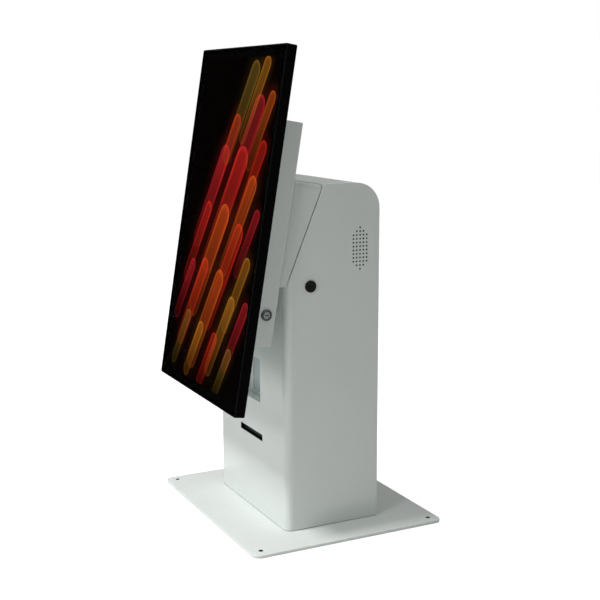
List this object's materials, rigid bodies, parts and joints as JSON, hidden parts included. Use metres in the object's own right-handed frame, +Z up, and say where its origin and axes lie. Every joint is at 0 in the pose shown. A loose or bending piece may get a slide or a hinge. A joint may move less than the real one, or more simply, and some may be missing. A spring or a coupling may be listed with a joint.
{
  "type": "countertop self-service kiosk",
  "caption": "Countertop ordering kiosk: portrait touch display on a folded sheet pedestal with hinged hood, receipt printer, code scanner, speakers and service door.",
  "frame": {"origin": "centre of the base plate's underside", "axes": "+Z up, the user stands on the -Y side, +X to the user's right"},
  "size_m": [0.4, 0.3548, 0.7692],
  "materials": {
    "painted_white": "white satin powder coat",
    "black_plastic": "black",
    "dark_plastic": "dark grey",
    "zinc_steel": "zinc plated",
    "rubber_black": "black rubber",
    "smoked_glass": "smoked pane",
    "lock_chrome": "dark nickel",
    "gear_plastic": "natural acetal",
    "brass_gear": "brass",
    "receipt_paper": "thermal paper",
    "button_green": "green",
    "frame_black": "black powder coat",
    "cover_glass": "dark cover glass",
    "board_green": "circuit board"
  },
  "bodies": {
    "pedestal": {"base_plate": "painted_white", "pedestal_shell": "painted_white", "top_back_cover": "painted_white", "foot_screws": "zinc_steel", "cable_grommet": "rubber_black", "power_inlet": "black_plastic", "receipt_bezel": "black_plastic", "printer_stand": "zinc_steel", "printer_chassis": "dark_plastic", "feed_motor": "zinc_steel", "cutter_housing": "dark_plastic", "roll_holder": "zinc_steel", "roll_spindle": "dark_plastic", "scanner_pocket": "painted_white", "scanner_window": "smoked_glass", "scanner_module": "dark_plastic", "speaker_right": "dark_plastic", "speaker_left": "dark_plastic", "equipment_tray": "zinc_steel", "mini_computer": "dark_plastic", "power_supply": "dark_plastic", "side_lock_barrel": "black_plastic", "side_lock_nut": "zinc_steel", "hood_hinge_fixed_leaves": "zinc_steel", "hood_hinge_pins": "zinc_steel", "rear_hinge_fixed_leaves": "zinc_steel", "rear_hinge_pins": "zinc_steel"},
    "side_lock": {"side_lock_plug": "black_plastic", "side_lock_cam": "zinc_steel"},
    "platen": {"platen_shaft": "zinc_steel", "platen_sleeve": "rubber_black", "platen_gear": "gear_plastic"},
    "pinion": {"motor_pinion": "brass_gear"},
    "paper": {"paper_roll": "receipt_paper"},
    "lid": {"printer_lid": "dark_plastic", "print_head": "zinc_steel"},
    "button": {"feed_button": "button_green"},
    "cutter": {"cutter_blade": "zinc_steel"},
    "rocker": {"rocker_switch": "black_plastic"},
    "rear_door_body": {"rear_door": "painted_white", "rear_hinge_moving_leaves": "zinc_steel", "rear_lock_barrel": "black_plastic", "rear_lock_nut": "zinc_steel"},
    "rear_lock": {"rear_lock_plug": "black_plastic", "rear_lock_cam": "zinc_steel"},
    "hood": {"hood_shell": "painted_white", "hood_hinge_moving_leaves": "zinc_steel", "display_housing": "painted_white", "housing_bolts": "zinc_steel", "housing_lock_barrel": "lock_chrome", "housing_lock_nut": "zinc_steel", "display_hinge_fixed_leaves": "zinc_steel"},
    "housing_lock": {"housing_lock_plug": "lock_chrome", "housing_lock_cam": "zinc_steel"},
    "display": {"display_frame": "frame_black", "display_catch": "zinc_steel", "cover_glass": "cover_glass", "lcd_panel": "dark_plastic", "display_board": "board_green", "display_hinge_moving_leaves": "zinc_steel"}
  },
  "joints": [
    {"name": "hood_hinge", "type": "hinge", "parent": "pedestal", "child": "hood", "pos_m": [-0.1394, -0.04641, 0.49334], "axis": [0, -0.384, -0.9234], "range_deg": [0, 100]},
    {"name": "display_hinge", "type": "hinge", "parent": "hood", "child": "display", "pos_m": [-0.1504, -0.11885, 0.48915], "axis": [0, -0.1633, -0.9866], "range_deg": [0, 95]},
    {"name": "side_lock_turn", "type": "hinge", "parent": "pedestal", "child": "side_lock", "pos_m": [0.135, -0.042, 0.4015], "axis": [-1, 0, 0], "range_deg": [0, 90]},
    {"name": "housing_lock_turn", "type": "hinge", "parent": "hood", "child": "housing_lock", "pos_m": [0.146, -0.1229, 0.36515], "axis": [-1, 0, 0], "range_deg": [0, 90]},
    {"name": "rear_door_hinge", "type": "hinge", "parent": "pedestal", "child": "rear_door_body", "pos_m": [0.1, 0.0856, 0.246], "axis": [0, 0, -1], "range_deg": [0, 110]},
    {"name": "rear_lock_turn", "type": "hinge", "parent": "rear_door_body", "child": "rear_lock", "pos_m": [-0.08, 0.0812, 0.25], "axis": [0, 1, 0], "range_deg": [0, 90]},
    {"name": "platen_spin", "type": "hinge", "parent": "pedestal", "child": "platen", "pos_m": [0, -0.0578, 0.1305], "axis": [1, 0, 0], "continuous": true},
    {"name": "pinion_spin", "type": "hinge", "parent": "pedestal", "child": "pinion", "pos_m": [0.061, -0.04195, 0.1194], "axis": [1, 0, 0], "continuous": true},
    {"name": "paper_roll_spin", "type": "hinge", "parent": "pedestal", "child": "paper", "pos_m": [0, 0.0342, 0.1285], "axis": [1, 0, 0], "continuous": true},
    {"name": "printer_lid_hinge", "type": "hinge", "parent": "pedestal", "child": "lid", "pos_m": [0, -0.0068, 0.1465], "axis": [-1, 0, 0], "range_deg": [0, 85]},
    {"name": "feed_button_press", "type": "slide", "parent": "pedestal", "child": "button", "axis": [0, -1, 0], "range_m": [0, 0.0015], "stiffness_N_per_m": 400, "springref_m": -0.0005},
    {"name": "cutter_stroke", "type": "slide", "parent": "pedestal", "child": "cutter", "axis": [0, 0, 1], "range_m": [0, 0.006]},
    {"name": "rocker_tilt", "type": "hinge", "parent": "pedestal", "child": "rocker", "pos_m": [-0.1135, 0.0792, 0.032], "axis": [1, 0, 0], "range_deg": [0, 16]}
  ],
  "couplings": [
    {"joint": "platen_spin", "follows": "paper_roll_spin", "ratio": 5.3333},
    {"joint": "pinion_spin", "follows": "paper_roll_spin", "ratio": -14.222}
  ]
}
